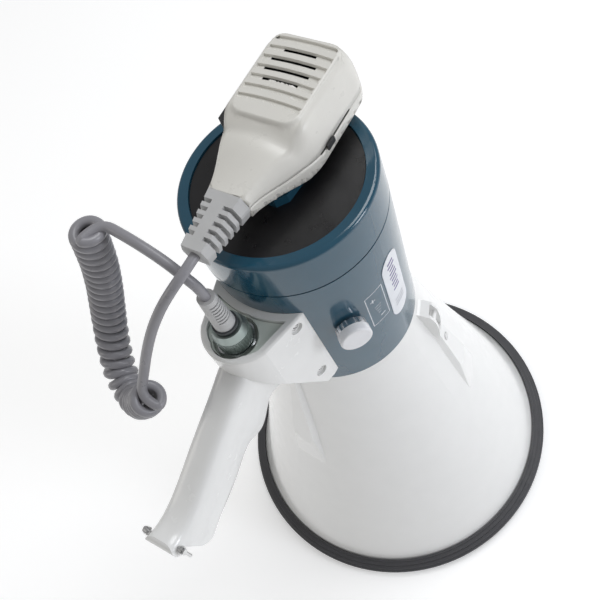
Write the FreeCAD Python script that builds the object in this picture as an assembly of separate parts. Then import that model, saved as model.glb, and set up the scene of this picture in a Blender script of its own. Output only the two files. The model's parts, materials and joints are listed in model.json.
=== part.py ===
import FreeCAD, Part
import math
import os

# Handheld megaphone with a re-entrant horn, a hand grip and a hang-up microphone on a curly cord.
# It stands on the mouth of its horn: the horn axis is Z, +Z points to the rear, the hand grip points
# to -Y, and the volume knob is on the +X side.  The origin is the centre of the mouth, on the surface
# that the rubber ring rests on.  All sizes are in millimetres, all angles in degrees.

V = FreeCAD.Vector
X_AXIS = V(1, 0, 0)
Y_AXIS = V(0, 1, 0)
Z_AXIS = V(0, 0, 1)

# ---------------------------------------------------------------- driving dimensions
RING_R = 115.0            # outside of the rubber ring round the mouth
MOUTH_R = 106.9           # outside of the horn where the ring begins
MOUTH_Z = 8.5
HORN_MID_R = 73.5         # outside of the horn half way up
NECK_R = 47.4             # outside of the horn and the body where they meet
NECK_Z = 215.4
HORN_WALL = 2.6

SEAM_Z = 318.8            # joint between the body and the battery cap
SEAM_R = 50.3
REAR_Z = 345.0            # rear rim of the battery cap
BODY_WALL = 2.5

SIDE_ANGLES = (-5.0, 112.0, -126.5)   # fairings round the horn, counted from the grip side
LUG_ANGLE = 112.0
KNOB_ANGLE = 53.0
KNOB_Z = 273.5
LABEL_ANGLE = 93.0

CONNECTOR_Y = -66.5       # axis of the microphone connector
PANEL_Z = 298.4
BRACKET_REAR_Z = 301.0

PIN_Y = -166.0            # strap pin through the end of the grip
PIN_Z = 254.0

MIC_FACE_Z = 382.0
MIC_BACK_Z = 350.2
MIC_SEAM_Z = 359.4
RELIEF_Z = 365.5          # axis of the cord's strain relief at the microphone

CORD_R = 2.6
COIL_R = 9.4

CELL_R = 13.1             # C size cells
CELL_LENGTH = 49.0
CELL_Z = 285.8
CELL_RING_R = 30.6
CELL_COUNT = 7            # round one more in the middle

RUN = 0.15                # gap between parts that slide into each other


# ---------------------------------------------------------------- helpers
def polar(radius, angle, z):
    """Point at an angle counted from the grip side (-Y) towards the knob side (+X)."""
    a = math.radians(angle)
    return V(radius * math.sin(a), -radius * math.cos(a), z)


def radial(angle):
    return polar(1.0, angle, 0.0)


def cylinder(radius, height, base, axis=Z_AXIS):
    return Part.makeCylinder(radius, height, base, axis)


def tube(outer, inner, height, base, axis=Z_AXIS):
    return cylinder(outer, height, base, axis).cut(cylinder(inner, height, base, axis))


def box(x0, x1, y0, y1, z0, z1):
    return Part.makeBox(x1 - x0, y1 - y0, z1 - z0, V(x0, y0, z0))


def revolve(points):
    """Solid of revolution about Z from (radius, z) corners."""
    corners = [V(r, 0, z) for r, z in points]
    return Part.Face(Part.makePolygon(corners + corners[:1])).revolve(V(), Z_AXIS, 360)


def revolve_edges(edges):
    return Part.Face(Part.Wire(edges)).revolve(V(), Z_AXIS, 360)


def line(p, q):
    return Part.LineSegment(p, q).toShape()


def arc(p, q, r):
    return Part.Arc(p, q, r).toShape()


def prism_x(points, half_width):
    """Solid between x = -half_width and +half_width from (y, z) corners."""
    corners = [V(-half_width, y, z) for y, z in points]
    return Part.Face(Part.makePolygon(corners + corners[:1])).extrude(V(2 * half_width, 0, 0))


def prism_z(points, z0, z1):
    corners = [V(x, y, z0) for x, y in points]
    return Part.Face(Part.makePolygon(corners + corners[:1])).extrude(V(0, 0, z1 - z0))


def turned(shape, angle):
    """A copy turned about Z from the grip side to an angle."""
    copy = shape.copy()
    copy.rotate(V(), Z_AXIS, angle)
    return copy


def fuse_all(shapes):
    return shapes[0].multiFuse(shapes[1:]).removeSplitter() if len(shapes) > 1 else shapes[0]


def group(shapes):
    return Part.makeCompound(shapes)


def superellipse(half_x, half_z, centre, power=2.6, count=20):
    """Closed smooth wire in a plane of constant y: a rounded rectangle."""
    points = []
    for i in range(count):
        a = 2 * math.pi * i / count
        c = math.cos(a)
        s = math.sin(a)
        x = half_x * math.copysign(abs(c) ** (2 / power), c)
        z = half_z * math.copysign(abs(s) ** (2 / power), s)
        points.append(centre + V(x, 0, z))
    curve = Part.BSplineCurve()
    curve.interpolate(points, PeriodicFlag=True)
    return Part.Wire(curve.toShape())


def route_path(points):
    """Straight runs joined by tangent arcs, each arc as large as its two runs allow."""
    edges = []
    start = points[0]
    radii = []
    for before, corner, after in zip(points, points[1:], points[2:]):
        arrive = (corner - before).normalize()
        leave = (after - corner).normalize()
        half_turn = arrive.getAngle(leave) / 2
        shorter = min((corner - before).Length, (after - corner).Length)
        setback = 0.45 * shorter
        radii.append(setback / math.tan(half_turn))
        first = corner - arrive * setback
        last = corner + leave * setback
        centre_line = (leave - arrive).normalize()
        centre = corner + centre_line * (radii[-1] / math.cos(half_turn))
        middle = centre - centre_line * radii[-1]
        edges.append(line(start, first))
        edges.append(arc(first, middle, last))
        start = last
    edges.append(line(start, points[-1]))
    return Part.Wire(edges), radii


def cord_solid(name, points, radius):
    path, radii = route_path(points)
    start = (points[1] - points[0]).normalize()
    circle = Part.Wire(Part.makeCircle(radius, points[0], start))
    solid = path.makePipeShell([circle], True, False)
    expected = math.pi * radius ** 2 * path.Length
    print(name, "length %.1f" % path.Length, "volume ratio %.4f" % (solid.Volume / expected))
    print("   bend radii", [round(r, 1) for r in radii])
    return solid


def horn_radius(z):
    """Radius of the horn's outside, on the arc through mouth, middle and neck."""
    a = V(MOUTH_R, 0, MOUTH_Z)
    m = V(HORN_MID_R, 0, (MOUTH_Z + NECK_Z) / 2)
    b = V(NECK_R, 0, NECK_Z)
    circle = arc(a, m, b).Curve
    return circle.Center.x - math.sqrt(circle.Radius ** 2 - (z - circle.Center.z) ** 2)


def body_radius(z):
    return NECK_R + (SEAM_R - NECK_R) * (z - NECK_Z) / (SEAM_Z - NECK_Z)


def around_body(gap, z0, z1=310.0):
    """Solid filled to the body's outside plus a gap."""
    return revolve([(0, z0), (body_radius(z0) + gap, z0), (body_radius(z1) + gap, z1), (0, z1)])


def horn_surface(offset, z0=MOUTH_Z, z1=NECK_Z):
    """Solid filled to the horn's outside plus an offset."""
    mid_z = (z0 + z1) / 2
    a = V(horn_radius(z0) + offset, 0, z0)
    m = V(horn_radius(mid_z) + offset, 0, mid_z)
    b = V(horn_radius(z1) + offset, 0, z1)
    edges = [arc(a, m, b), line(b, V(0, 0, z1)), line(V(0, 0, z1), V(0, 0, z0)), line(V(0, 0, z0), a)]
    return revolve_edges(edges)


# ---------------------------------------------------------------- horn
FAIRING_LOW_Z = 118.0     # fairing from here
FAIRING_HIGH_Z = 209.0    # to here, measured on the horn
FAIRING_RISE = 2.4
FAIRING_SINK = 2.2        # depth of its base under the surface
LUG_HALF = 5.4
LUG_FIN = 1.8


def generator_frame():
    """Foot point, direction and outward normal of the horn's side at the grip side."""
    low = V(0, -horn_radius(FAIRING_LOW_Z), FAIRING_LOW_Z)
    high = V(0, -horn_radius(FAIRING_HIGH_Z), FAIRING_HIGH_Z)
    along = (high - low).normalize()
    return low, along, along.cross(X_AXIS) * -1.0, (high - low).Length


def teardrop(low_u, low_r, high_u, high_r, rise):
    """Pointed outline at a height over the horn's side; u runs up the side, r is the end radius."""
    foot, along, normal, _ = generator_frame()
    lean = math.asin((low_r - high_r) / (high_u - low_u))
    points = []
    for centre_u, radius, start, end, count in ((high_u, high_r, lean, math.pi - lean, 8),
                                                (low_u, low_r, math.pi - lean, 2 * math.pi + lean, 28)):
        centre = foot + normal * rise + along * centre_u
        for i in range(count + 1):
            a = start + (end - start) * i / count
            points.append(centre + X_AXIS * (radius * math.cos(a)) + along * (radius * math.sin(a)))
    return Part.makePolygon(points + points[:1])


def fairing():
    """Raised teardrop over a spider arm, with sloping sides and a flat top."""
    length = generator_frame()[3]
    base = teardrop(-7.3, 13.9, length - 2.8, 4.4, -FAIRING_SINK)
    crown = teardrop(30.6, 7.4, length - 3.6, 1.5, FAIRING_RISE)
    return Part.makeLoft([base, crown], True, True)


def strap_lug():
    """Two fins with a bar between them for the carrying strap, at the neck end of one fairing."""
    outline = [(-46.0, 212.0), (-49.8, 211.0), (-55.6, 207.4), (-58.2, 201.5), (-58.9, 194.0),
               (-58.6, 186.0), (-57.4, 178.0), (-50.0, 178.0)]
    block = prism_x(outline, LUG_HALF)
    pocket = prism_x([(-40.0, 208.0), (-66.0, 208.0), (-66.0, 184.0), (-40.0, 184.0)], LUG_HALF - LUG_FIN)
    pocket = pocket.cut(horn_surface(0.4, 160.0, NECK_Z))
    bar = cylinder(1.4, 2 * LUG_HALF - 0.4, V(-LUG_HALF + 0.2, -56.2, 199.0), X_AXIS)
    return block.cut(pocket).fuse(bar)


LUG_SCREW_U = 56.0        # distance up the side from the fairing's foot


def lug_screw_base(rise):
    foot, along, normal, _ = generator_frame()
    return foot + along * LUG_SCREW_U + normal * rise, normal


def lug_screw_solid(radius, start, length):
    at, normal = lug_screw_base(start)
    return turned(cylinder(radius, length, at, normal), LUG_ANGLE)


def lug_screw():
    """Screw through the fairing's top into the spider arm's boss."""
    head = lug_screw_solid(2.3, 1.7, 1.1)
    shank = lug_screw_solid(1.2, -1.2, 3.0)
    return head.fuse(shank)


def horn_bell():
    inner_r = MOUTH_R - HORN_WALL
    flange_r = 110.6
    flange_z = 5.2
    mid_z = (MOUTH_Z + NECK_Z) / 2
    spigot_r = NECK_R - BODY_WALL - 0.3
    spigot_top = NECK_Z + 8.0
    throat_r = NECK_R - HORN_WALL - 2.6
    edges = [
        line(V(inner_r, 0, flange_z), V(flange_r, 0, flange_z)),
        line(V(flange_r, 0, flange_z), V(flange_r, 0, flange_z + 2.2)),
        line(V(flange_r, 0, flange_z + 2.2), V(MOUTH_R, 0, MOUTH_Z)),
        arc(V(MOUTH_R, 0, MOUTH_Z), V(HORN_MID_R, 0, mid_z), V(NECK_R, 0, NECK_Z)),
        line(V(NECK_R, 0, NECK_Z), V(spigot_r, 0, NECK_Z)),
        line(V(spigot_r, 0, NECK_Z), V(spigot_r, 0, spigot_top)),
        line(V(spigot_r, 0, spigot_top), V(throat_r, 0, spigot_top)),
        line(V(throat_r, 0, spigot_top), V(throat_r, 0, NECK_Z - 4.0)),
        arc(V(throat_r, 0, NECK_Z - 4.0), V(HORN_MID_R - HORN_WALL, 0, mid_z), V(inner_r, 0, MOUTH_Z)),
        line(V(inner_r, 0, MOUTH_Z), V(inner_r, 0, flange_z)),
    ]
    shell = revolve_edges(edges)
    core = horn_surface(-1.0, 90.0, NECK_Z)
    extras = [turned(fairing().cut(core), a) for a in SIDE_ANGLES]
    extras.append(turned(strap_lug().cut(core), LUG_ANGLE))
    bell = shell.multiFuse(extras)
    bell = bell.cut(lug_screw_solid(2.5, 1.5, 4.0))
    return bell.cut(lug_screw_solid(1.25, -1.4, 4.0))


def bumper_ring():
    """Rubber ring clipped over the rim, with stepped grooves round its outside."""
    profile = [
        (104.6, 0.0), (112.0, 0.0), (114.2, 1.6), (RING_R, 4.2), (RING_R, 6.2), (113.6, 7.0), (113.4, 8.2),
        (111.4, 8.6), (111.2, 9.8), (108.8, 10.2), (108.6, 11.0), (MOUTH_R + 0.2, 11.2), (MOUTH_R + 0.2, 8.9),
        (111.0, 7.8), (111.0, 4.9), (104.6, 4.9),
    ]
    return revolve(profile)


# ---------------------------------------------------------------- sound path inside the horn
CUP_R = 34.0
CUP_OPEN_Z = 203.0
CUP_NOSE_Z = 106.0
PIPE_R = 17.5
PIPE_END_Z = 132.0
PIPE_WALL = 1.8
BAFFLE_Z = NECK_Z + 8.0


def inner_pipe():
    """First stage of the folded horn: a flared pipe from the driver towards the mouth."""
    outer = [(15.0, BAFFLE_Z - 0.1), (PIPE_R - 1.5, 190.0), (PIPE_R, PIPE_END_Z)]
    inner = [(PIPE_R - PIPE_WALL, PIPE_END_Z), (PIPE_R - 1.5 - PIPE_WALL, 190.0), (10.0, BAFFLE_Z - 0.1)]
    return revolve(outer + inner)


def reflector_cup():
    """Closed cup that turns the sound round the pipe's end back towards the neck."""
    wall = 2.0
    side_end = CUP_NOSE_Z + 22.0
    tip = 4.0
    outer = [
        line(V(CUP_R - 2.5, 0, CUP_OPEN_Z), V(CUP_R, 0, side_end)),
        arc(V(CUP_R, 0, side_end), V(25.5, 0, CUP_NOSE_Z + 6.5), V(tip, 0, CUP_NOSE_Z)),
        line(V(tip, 0, CUP_NOSE_Z), V(0, 0, CUP_NOSE_Z)),
        line(V(0, 0, CUP_NOSE_Z), V(0, 0, CUP_NOSE_Z + wall)),
        line(V(0, 0, CUP_NOSE_Z + wall), V(tip, 0, CUP_NOSE_Z + wall)),
        arc(V(tip, 0, CUP_NOSE_Z + wall), V(24.0, 0, CUP_NOSE_Z + 8.2), V(CUP_R - wall, 0, side_end)),
        line(V(CUP_R - wall, 0, side_end), V(CUP_R - 2.5 - wall, 0, CUP_OPEN_Z)),
        line(V(CUP_R - 2.5 - wall, 0, CUP_OPEN_Z), V(CUP_R - 2.5, 0, CUP_OPEN_Z)),
    ]
    return revolve_edges(outer)


def pipe_vanes():
    """Three thin vanes that centre the cup on the pipe."""
    vane = box(-0.9, 0.9, -(CUP_R - 4.1), -(PIPE_R + 0.1), 140.0, 185.0)
    return group([turned(vane, a) for a in SIDE_ANGLES])


def horn_spider():
    """Collar round the cup with three arms to the horn wall."""
    collar_z = 146.0
    collar = tube(CUP_R + 1.8, CUP_R + 0.05, 12.0, V(0, 0, collar_z))
    parts = [collar]
    for angle in SIDE_ANGLES:
        arm = box(-1.6, 1.6, -70.0, -(CUP_R + 0.4), collar_z + 1.0, collar_z + 11.0)
        parts.append(turned(arm, angle))
    inside = horn_surface(-HORN_WALL - 1.0, 100.0, NECK_Z)
    return fuse_all(parts).common(inside)


# ---------------------------------------------------------------- driver
DRIVER_R = 34.0
COIL_GAP_R = 18.4


def driver_screw_places():
    return [polar(38.5, 60 + 120 * i, 0) for i in range(3)]


def baffle_plate():
    """Plate across the neck that carries the driver and the pipe."""
    plate = tube(44.6, 13.0, 3.0, V(0, 0, BAFFLE_Z))
    for at in driver_screw_places():
        plate = plate.cut(cylinder(1.55, 4.0, at + V(0, 0, BAFFLE_Z - 0.5)))
    return plate


def phase_plug():
    plug = Part.makeCone(9.4, 3.0, 9.0, V(0, 0, BAFFLE_Z + 4.4), V(0, 0, -1))
    base = tube(27.8, 13.2, 2.0, V(0, 0, BAFFLE_Z + 3.1))
    web = box(-0.8, 0.8, -14.0, -4.0, BAFFLE_Z + 3.1, BAFFLE_Z + 4.4)
    return fuse_all([plug, base] + [turned(web, a) for a in (0, 120, 240)])


def diaphragm():
    """Shallow dome with a flat rim."""
    z = BAFFLE_Z + 5.9
    tip = 3.0
    edges = [
        line(V(0, 0, z - 0.4), V(0, 0, z)),
        line(V(0, 0, z), V(tip, 0, z)),
        arc(V(tip, 0, z), V(11.0, 0, z + 1.2), V(17.6, 0, z + 3.0)),
        line(V(17.6, 0, z + 3.0), V(28.0, 0, z + 3.0)),
        line(V(28.0, 0, z + 3.0), V(28.0, 0, z + 2.5)),
        line(V(28.0, 0, z + 2.5), V(17.8, 0, z + 2.5)),
        arc(V(17.8, 0, z + 2.5), V(11.2, 0, z + 0.7), V(tip, 0, z - 0.4)),
        line(V(tip, 0, z - 0.4), V(0, 0, z - 0.4)),
    ]
    return revolve_edges(edges)


TOP_PLATE_Z = BAFFLE_Z + 9.0


def voice_coil():
    return tube(COIL_GAP_R + 0.5, COIL_GAP_R, 5.0, V(0, 0, TOP_PLATE_Z))


def top_plate():
    plate = tube(DRIVER_R, COIL_GAP_R + 0.9, 4.0, V(0, 0, TOP_PLATE_Z))
    rim = tube(DRIVER_R, 28.4, 6.0, V(0, 0, BAFFLE_Z + 3.05))
    ears = [tube(4.4, 1.55, 2.8, at + V(0, 0, BAFFLE_Z + 3.05)) for at in driver_screw_places()]
    return fuse_all([plate, rim] + ears).cut(cylinder(28.4, 5.9, V(0, 0, BAFFLE_Z + 3.05)))


def magnet_ring():
    return tube(DRIVER_R - 0.5, 21.0, 9.0, V(0, 0, TOP_PLATE_Z + 4.05))


def yoke():
    """Back plate with the pole that fills the voice coil."""
    back = cylinder(DRIVER_R - 2.0, 4.0, V(0, 0, TOP_PLATE_Z + 13.1))
    pole = cylinder(COIL_GAP_R - 0.5, 13.2, V(0, 0, TOP_PLATE_Z))
    return back.fuse(pole)


def driver_screws():
    screws = []
    for at in driver_screw_places():
        shank = cylinder(1.5, 5.0, at + V(0, 0, BAFFLE_Z + 1.0))
        head = cylinder(3.0, 2.0, at + V(0, 0, BAFFLE_Z + 5.95))
        screws.append(shank.fuse(head))
    return group(screws)


# ---------------------------------------------------------------- body
def body_shell():
    inset = BODY_WALL
    profile = [
        (NECK_R, NECK_Z + 0.1), (SEAM_R, SEAM_Z), (SEAM_R - inset, SEAM_Z),
        (NECK_R - inset + 0.4, NECK_Z + 12.0), (NECK_R - inset, NECK_Z + 0.1),
    ]
    shell = revolve(profile)
    bore = cylinder(3.9, 30.0, polar(30.0, KNOB_ANGLE, KNOB_Z), radial(KNOB_ANGLE))
    shell = shell.cut(bore)
    wire_way = cylinder(6.0, 25.0, V(0, -30.0, 276.0), V(0, -1, 0))
    shell = shell.cut(wire_way)
    for hole in both_sides(1.5, 4.0, 16.0):
        shell = shell.cut(hole)
    return shell


def battery_bulkhead():
    """Partition between the amplifier and the batteries."""
    return cylinder(46.2, 2.0, V(0, 0, 280.4)).cut(cylinder(3.0, 4.0, V(0, 40.0, 279.0)))


BOARD_Z = 257.0


def amplifier_board():
    board = cylinder(43.0, 1.6, V(0, 0, BOARD_Z))
    for angle in (20, 140, 260):
        board = board.cut(cylinder(1.7, 4.0, polar(38.0, angle, BOARD_Z - 1)))
    return board


def board_pillars():
    return group([tube(3.2, 1.5, 12.0, polar(38.0, a, BOARD_Z + 1.7)) for a in (20, 140, 260)])


def heatsink():
    base = box(-34.0, -31.0, -16.0, 16.0, BOARD_Z + 1.7, BOARD_Z + 18.0)
    fins = [box(-31.1, -25.0, y, y + 1.4, BOARD_Z + 3.0, BOARD_Z + 18.0) for y in range(-15, 16, 5)]
    return fuse_all([base] + fins)


def board_components():
    """Output chips, capacitors and the output transformer on the amplifier board."""
    top = BOARD_Z + 1.65
    parts = [box(-24.6, -20.4, y, y + 10.0, top, top + 15.0) for y in (-13.0, 2.5)]
    parts += [cylinder(5.0, 16.0, V(6.0, y, top)) for y in (22.0, 9.5)]
    parts += [cylinder(3.2, 11.0, V(x, -22.0, top)) for x in (-12.0, -3.0, 6.0)]
    transformer = box(-12.0, 2.0, -10.0, 12.0, top, top + 12.0)
    parts.append(transformer.cut(box(-9.0, -1.0, -11.0, 13.0, top, top + 2.0)))
    return group(parts)


def potentiometer():
    """Switched volume control: can, bushing and a shaft end are one bought part."""
    out = radial(KNOB_ANGLE)
    wall = body_radius(KNOB_Z) - BODY_WALL
    can = cylinder(6.6, 8.0, polar(wall - 9.4, KNOB_ANGLE, KNOB_Z), out)
    bushing = cylinder(3.5, 7.3, polar(wall - 2.0, KNOB_ANGLE, KNOB_Z), out)
    bore = cylinder(3.06, 12.0, polar(wall - 4.0, KNOB_ANGLE, KNOB_Z), out)
    lugs = []
    side = out.cross(Z_AXIS)
    for step in (-4.0, 0.0, 4.0):
        foot = polar(wall - 7.6, KNOB_ANGLE, KNOB_Z - 9.5) + side * step
        lugs.append(cylinder(0.6, 5.2, foot))
    return fuse_all([can, bushing] + lugs).cut(bore)


def potentiometer_nut():
    out = radial(KNOB_ANGLE)
    start = body_radius(KNOB_Z) + 0.35
    nut = cylinder(6.0, 1.8, polar(start, KNOB_ANGLE, KNOB_Z), out)
    return nut.cut(cylinder(3.55, 4.0, polar(start - 1, KNOB_ANGLE, KNOB_Z), out))


KNOB_R = 8.8
KNOB_START = 49.0 + 1.6     # radius where the knob's skirt begins
KNOB_SKIRT = 3.7
KNOB_CAP = 4.9


def knob_shaft():
    out = radial(KNOB_ANGLE)
    wall = body_radius(KNOB_Z) - BODY_WALL
    start = wall - 1.0
    end = KNOB_START + KNOB_SKIRT + 0.9
    return cylinder(3.0, end - start, polar(start, KNOB_ANGLE, KNOB_Z), out)


def knob_skirt():
    """Bright faceted collar between the body and the knob's cap."""
    out = radial(KNOB_ANGLE)
    base = polar(KNOB_START, KNOB_ANGLE, KNOB_Z)
    collar = cylinder(KNOB_R - 0.2, KNOB_SKIRT, base, out)
    side = out.cross(Z_AXIS)
    for i in range(12):
        a = 2 * math.pi * i / 12
        away = side * math.cos(a) + Z_AXIS * math.sin(a)
        centre = base + away * (KNOB_R + 2.1) - out
        collar = collar.cut(cylinder(2.7, KNOB_SKIRT + 2, centre, out))
    pocket = cylinder(6.5, 1.7, base - out * 0.1, out)
    return collar.cut(pocket).cut(cylinder(3.02, 20.0, base - out, out))


def knob_cap():
    out = radial(KNOB_ANGLE)
    base = polar(KNOB_START + KNOB_SKIRT, KNOB_ANGLE, KNOB_Z)
    cap = cylinder(KNOB_R, KNOB_CAP, base, out)
    face_distance = base.dot(out) + KNOB_CAP - 0.1
    cap = cap.makeFillet(1.1, [e for e in cap.Edges if e.BoundBox.Center.dot(out) > face_distance])
    return cap.cut(cylinder(3.02, 1.1, base, out))


def label_plate():
    """Thin sticker on the body beside the knob."""
    low = 242.0
    high = 298.0
    skin = revolve([(body_radius(low - 5) + 0.35, low - 5), (body_radius(high + 5) + 0.35, high + 5),
                    (body_radius(high + 5) + 0.05, high + 5), (body_radius(low - 5) + 0.05, low - 5)])
    half = 8.0
    near = V(0, -30.0, 0)
    outline = Part.Wire([
        line(near + V(-half, 0, low + half), near + V(-half, 0, high - half)),
        arc(near + V(-half, 0, high - half), near + V(0, 0, high), near + V(half, 0, high - half)),
        line(near + V(half, 0, high - half), near + V(half, 0, low + half)),
        arc(near + V(half, 0, low + half), near + V(0, 0, low), near + V(-half, 0, low + half)),
    ])
    cutter = Part.Face(outline).extrude(V(0, -40.0, 0))
    return turned(skin.common(cutter), LABEL_ANGLE)


# ---------------------------------------------------------------- batteries
def cell_places():
    places = [V(0, 0, 0)]
    for i in range(CELL_COUNT):
        places.append(polar(CELL_RING_R, 360.0 * i / CELL_COUNT, 0))
    return places


def battery_cells():
    """Eight cells: seven in a ring round one; each has its raised positive cap."""
    cells = []
    for at in cell_places():
        can = cylinder(CELL_R - 0.15, CELL_LENGTH - 1.6, at + V(0, 0, CELL_Z))
        cap = cylinder(3.3, 1.6, at + V(0, 0, CELL_Z + CELL_LENGTH - 1.6))
        cells.append(can.fuse(cap))
    return group(cells)


TRAY_R = 46.0


def tray_plate(z, height):
    plate = cylinder(TRAY_R, height, V(0, 0, z))
    for i in range(3):
        plate = plate.cut(cylinder(2.02, height + 2, polar(42.6, 51.4 * (2 * i + 0.5), z - 1)))
    return plate


def tray_plates():
    return group([tray_plate(282.6, 2.0), tray_plate(CELL_Z + CELL_LENGTH + 0.6, 2.0)])


def tray_rods():
    length = CELL_Z + CELL_LENGTH + 2.6 - 282.6
    return group([cylinder(2.0, length, polar(42.6, 51.4 * (2 * i + 0.5), 282.6)) for i in range(3)])


def contact_strips():
    """Sprung strips that link neighbouring cells, front and rear."""
    strips = []
    places = cell_places()[1:]
    for i in range(0, CELL_COUNT - 1, 2):
        a = places[i]
        b = places[i + 1]
        along = (b - a).normalize()
        angle = math.degrees(math.atan2(along.y, along.x))
        for z in (284.75, CELL_Z + CELL_LENGTH + 0.1):
            strip = box(-4.0, (b - a).Length + 4.0, -3.0, 3.0, 0, 0.4)
            strip.rotate(V(), Z_AXIS, angle)
            strip.translate(V(a.x, a.y, z))
            strips.append(strip)
    return group(strips)


# ---------------------------------------------------------------- battery cap and hanger
CAP_GAP = 0.9
DISC_R = 43.4
DISC_Z = REAR_Z - 1.0       # rear face of the black disc


def cap_seal():
    return tube(SEAM_R - 0.4, SEAM_R - 2.4, CAP_GAP - 0.3, V(0, 0, SEAM_Z + 0.15))


def battery_cap():
    """Twist-on end cap with a skirt that enters the body."""
    base = SEAM_Z + CAP_GAP
    r = SEAM_R
    edges = [
        line(V(r, 0, base), V(r, 0, REAR_Z - 2.2)),
        arc(V(r, 0, REAR_Z - 2.2), V(r - 0.65, 0, REAR_Z - 0.65), V(r - 2.2, 0, REAR_Z)),
        line(V(r - 2.2, 0, REAR_Z), V(DISC_R + 0.5, 0, REAR_Z)),
        line(V(DISC_R + 0.5, 0, REAR_Z), V(DISC_R + 0.5, 0, DISC_Z - 1.6)),
        line(V(DISC_R + 0.5, 0, DISC_Z - 1.6), V(0, 0, DISC_Z - 1.6)),
        line(V(0, 0, DISC_Z - 1.6), V(0, 0, DISC_Z - 4.0)),
        line(V(0, 0, DISC_Z - 4.0), V(r - 3.0, 0, DISC_Z - 4.0)),
        line(V(r - 3.0, 0, DISC_Z - 4.0), V(r - 3.0, 0, base + 1.5)),
        line(V(r - 3.0, 0, base + 1.5), V(r - 4.4, 0, base)),
        line(V(r - 4.4, 0, base), V(r - 4.4, 0, 306.0)),
        line(V(r - 4.4, 0, 306.0), V(r - 3.4, 0, 306.0)),
        line(V(r - 3.4, 0, 306.0), V(r - 2.9, 0, base)),
        line(V(r - 2.9, 0, base), V(r, 0, base)),
    ]
    return revolve_edges(edges)


def cap_disc():
    return cylinder(DISC_R, 1.5, V(0, 0, DISC_Z - 1.5))


CLIP_TOP = DISC_Z + 5.4
STUD_R = 3.6
STUD_HEAD_R = 6.4


def mic_hanger():
    """Clip on the black disc: a plate on side walls, with a slot that opens in a V towards +Y."""
    outline = [(-13.5, -9.0), (-9.0, -14.0), (9.0, -14.0), (13.5, -9.0), (15.5, 12.5), (-15.5, 12.5)]
    block = prism_z(outline, DISC_Z, CLIP_TOP)
    pocket_z = CLIP_TOP - 1.9
    flare = math.tan(math.radians(24.0))
    head = STUD_HEAD_R + 0.5
    neck = STUD_R + 0.5
    reach = 14.0
    mouth = head + flare * 12
    pocket = prism_z([(-head, 0), (head, 0), (mouth, reach), (-mouth, reach)], DISC_Z, pocket_z)
    pocket = pocket.fuse(cylinder(head, pocket_z - DISC_Z, V(0, 0, DISC_Z)))
    slot = prism_z([(-neck, 0), (neck, 0), (neck + flare * reach, reach), (-neck - flare * reach, reach)],
                   DISC_Z, CLIP_TOP + 1)
    slot = slot.fuse(cylinder(neck, CLIP_TOP + 1 - DISC_Z, V(0, 0, DISC_Z)))
    return block.cut(pocket).cut(slot)


# ---------------------------------------------------------------- grip
BRACKET_OUTLINE = [(26.5, -38.0), (26.4, -44.0), (20.0, -68.5)]
BRACKET_END_Y = -81.5
SCREW_Y = -49.2
SCREW_HEIGHTS = (243.3, 294.6)


def bracket_screw(side, z, radius, start, length):
    """Cylinder square to a side wall of the bracket; start counts inwards from the wall."""
    (wall_x, wall_y), (end_x, end_y) = BRACKET_OUTLINE[1:]
    along = V(wall_x - end_x, wall_y - end_y, 0).normalize()
    inward = V(-side * along.y, along.x, 0)
    on_wall = V(side * (wall_x + (SCREW_Y - wall_y) * along.x / along.y), SCREW_Y, z)
    return cylinder(radius, length, on_wall + inward * start, inward)


def both_sides(radius, start, length):
    return [bracket_screw(side, z, radius, start, length) for z in SCREW_HEIGHTS for side in (1, -1)]


def bracket_wire(inset, z):
    """Plan outline: straight sides that draw together, and a round end."""
    side = [(x - inset, y) for x, y in BRACKET_OUTLINE]
    end = BRACKET_END_Y + inset
    left = [V(-x, y, z) for x, y in side]
    right = [V(x, y, z) for x, y in side]
    return Part.Wire([
        line(left[0], left[1]),
        line(left[1], left[2]),
        arc(left[2], V(0, end, z), right[2]),
        line(right[2], right[1]),
        line(right[1], right[0]),
        line(right[0], left[0]),
    ])


def bracket_block(inset, z0, z1):
    return Part.Face(bracket_wire(inset, z0)).extrude(V(0, 0, z1 - z0))


GRIP_STATIONS = [
    # y, z of the front edge, z of the rear edge, half width
    (-58.0, 253.0, 291.0, 10.5),
    (-72.0, 246.0, 288.0, 10.2),
    (-84.0, 238.5, 284.0, 9.9),
    (-93.0, 235.0, 280.3, 9.6),
    (-99.0, 238.0, 277.8, 9.4),
    (-118.0, 232.0, 270.4, 9.3),
    (-137.0, 225.6, 262.2, 9.2),
    (-152.0, 219.5, 257.0, 9.6),
    (-172.0, 212.0, 262.0, 9.9),
]


def grip_loft(inset):
    wires = []
    for y, front, rear, half in GRIP_STATIONS:
        centre = V(0, y, (front + rear) / 2)
        wires.append(superellipse(half - inset, (rear - front) / 2 - inset, centre, 4.6, 28))
    return Part.makeLoft(wires, True, False)


def grip_side_shape():
    """Side view of the grip below the bracket: it ends in a rounded toe and the pin lug."""
    outline = Part.Wire([
        line(V(-20, -50.0, 300.0), V(-20, -50.0, 225.0)),
        line(V(-20, -50.0, 225.0), V(-20, -134.0, 205.0)),
        line(V(-20, -134.0, 205.0), V(-20, -142.5, 221.0)),
        arc(V(-20, -142.5, 221.0), V(-20, -152.3, 225.0), V(-20, -159.8, 236.4)),
        line(V(-20, -159.8, 236.4), V(-20, -163.6, 249.4)),
        arc(V(-20, -163.6, 249.4), V(-20, -170.3, 255.0), V(-20, -165.0, 259.0)),
        line(V(-20, -165.0, 259.0), V(-20, -150.0, 300.0)),
        line(V(-20, -150.0, 300.0), V(-20, -50.0, 300.0)),
    ])
    return Part.Face(outline).extrude(V(40, 0, 0))


DIAGONAL = [(-36.0, 228.5), (-49.0, 228.5), (-66.0, 258.0), (-83.0, 287.0), (-83.0, 310.0), (-36.0, 310.0)]
WELL_R = 12.8
WELL_Z = 292.0


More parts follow.
